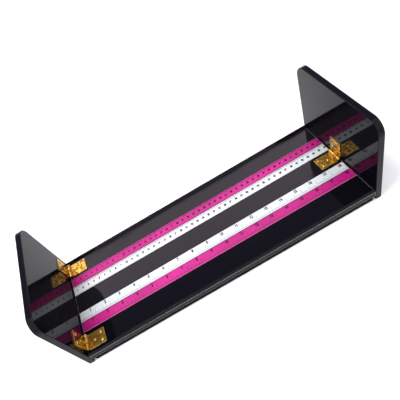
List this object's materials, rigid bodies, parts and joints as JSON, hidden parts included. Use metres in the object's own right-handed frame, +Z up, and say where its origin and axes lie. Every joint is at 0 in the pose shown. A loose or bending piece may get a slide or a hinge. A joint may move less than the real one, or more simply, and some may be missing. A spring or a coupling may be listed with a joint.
{
  "type": "parallel ruler tray",
  "caption": "Long gloss black acrylic tray with two parallel two-tone flat rulers on its deck and a hinged upright end panel at each end that folds inward.",
  "frame": {"origin": "middle of the tray on the table, under the foot strips", "axes": "+X along the rulers to the end with one hinge, +Y to the rear (metric) ruler, +Z up"},
  "size_m": [0.4798, 0.178, 0.1385],
  "materials": {
    "black_acrylic": "polished",
    "foot_rubber": "matte",
    "magenta_anodised": "satin",
    "scale_aluminium": "satin",
    "brass": "polished"
  },
  "bodies": {
    "base": {"base_board": "black_acrylic", "front_rail": "black_acrylic", "rear_rail": "black_acrylic", "front_foot_strip": "foot_rubber", "rear_foot_strip": "foot_rubber", "inch_ruler_color_strip": "magenta_anodised", "inch_ruler_scale_strip": "scale_aluminium", "metric_ruler_scale_strip": "scale_aluminium", "metric_ruler_color_strip": "magenta_anodised", "left_front_hinge_base_leaf": "brass", "left_front_hinge_pin": "brass", "left_front_hinge_base_screws": "brass", "left_rear_hinge_base_leaf": "brass", "left_rear_hinge_pin": "brass", "left_rear_hinge_base_screws": "brass", "right_middle_hinge_base_leaf": "brass", "right_middle_hinge_pin": "brass", "right_middle_hinge_base_screws": "brass"},
    "left_panel": {"left_end_panel": "black_acrylic", "left_front_hinge_panel_leaf": "brass", "left_front_hinge_panel_screws": "brass", "left_rear_hinge_panel_leaf": "brass", "left_rear_hinge_panel_screws": "brass"},
    "right_panel": {"right_end_panel": "black_acrylic", "right_middle_hinge_panel_leaf": "brass", "right_middle_hinge_panel_screws": "brass"}
  },
  "joints": [
    {"name": "left_panel_fold", "type": "hinge", "parent": "base", "child": "left_panel", "pos_m": [-0.22765, 0, 0.02125], "axis": [0, 1, 0], "range_deg": [0, 90]},
    {"name": "right_panel_fold", "type": "hinge", "parent": "base", "child": "right_panel", "pos_m": [0.22765, 0, 0.02125], "axis": [0, -1, 0], "range_deg": [0, 90]}
  ]
}
